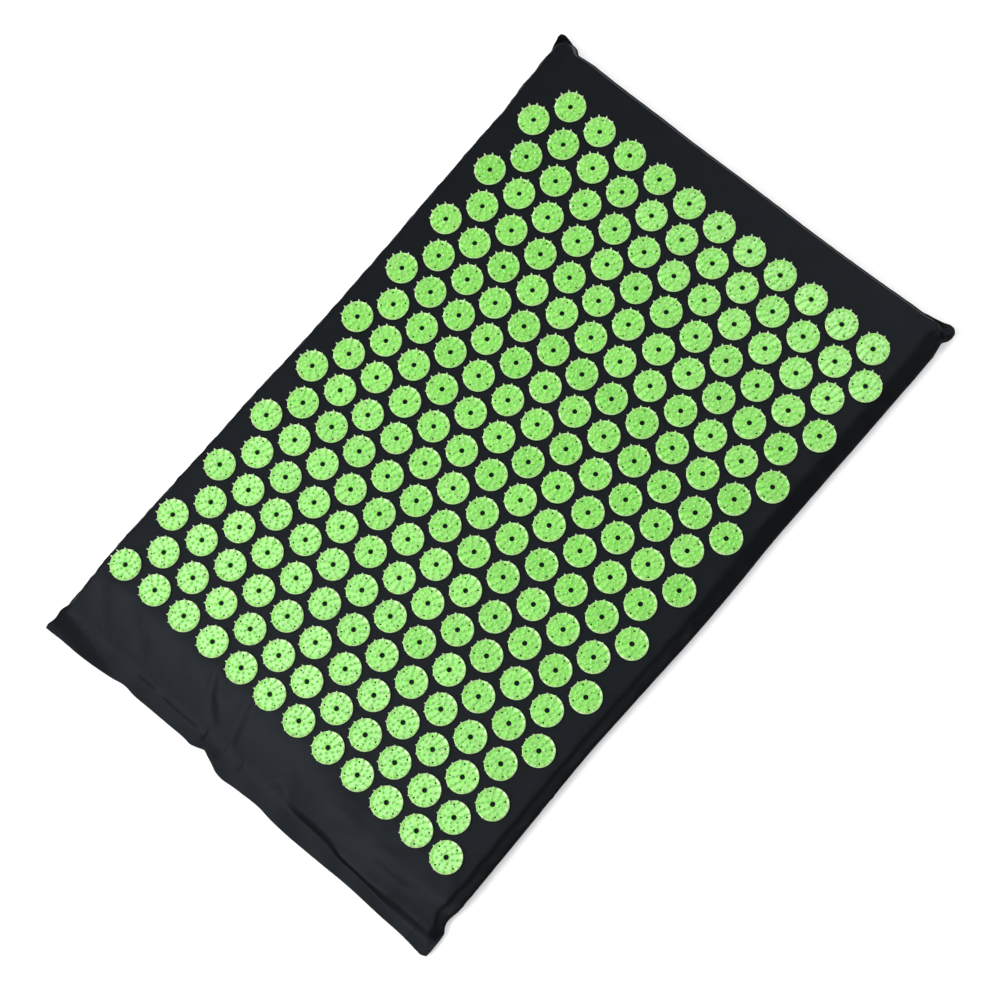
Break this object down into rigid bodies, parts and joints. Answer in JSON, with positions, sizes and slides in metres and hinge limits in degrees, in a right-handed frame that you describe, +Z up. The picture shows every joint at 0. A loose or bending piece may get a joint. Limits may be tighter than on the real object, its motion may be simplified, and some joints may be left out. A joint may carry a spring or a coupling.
{
  "type": "acupressure mat",
  "caption": "Flat rectangular acupressure mat: a cloth-covered foam pad whose top carries staggered rows of spiked plastic discs, closed by a hook-and-loop flap along one short end.",
  "frame": {"origin": "middle of the bounding box's bottom face, on the surface the mat lies on", "axes": "+X across the mat to its long side without a closure, +Y from the closing hem to the head end, +Z up through the discs"},
  "size_m": [0.4328, 0.6758, 0.027],
  "materials": {
    "cover_cloth": "matt near-black woven cloth",
    "disc_plastic": "satin moulded plastic, yellow-green",
    "foam": "soft open-cell foam, off-white",
    "hook_tape": "black nylon hooks",
    "loop_tape": "black brushed nylon loops"
  },
  "bodies": {
    "cover": {"foam_pad": "foam", "cover_top_panel": "cover_cloth", "cover_bottom_panel": "cover_cloth", "loop_strip": "loop_tape", "spiked_disc_01": "disc_plastic", "spiked_disc_02": "disc_plastic", "spiked_disc_03": "disc_plastic", "spiked_disc_04": "disc_plastic", "spiked_disc_05": "disc_plastic", "spiked_disc_06": "disc_plastic", "spiked_disc_07": "disc_plastic", "spiked_disc_08": "disc_plastic", "spiked_disc_09": "disc_plastic", "spiked_disc_10": "disc_plastic", "spiked_disc_11": "disc_plastic", "spiked_disc_12": "disc_plastic"},
    "closure_flap": {"closure_flap": "cover_cloth", "hook_strip": "hook_tape"}
  },
  "joints": [
    {"name": "closure_flap_hinge", "type": "hinge", "parent": "cover", "child": "closure_flap", "pos_m": [0, -0.317, 0.0054], "axis": [-1, 0, 0], "range_deg": [0, 100]}
  ]
}
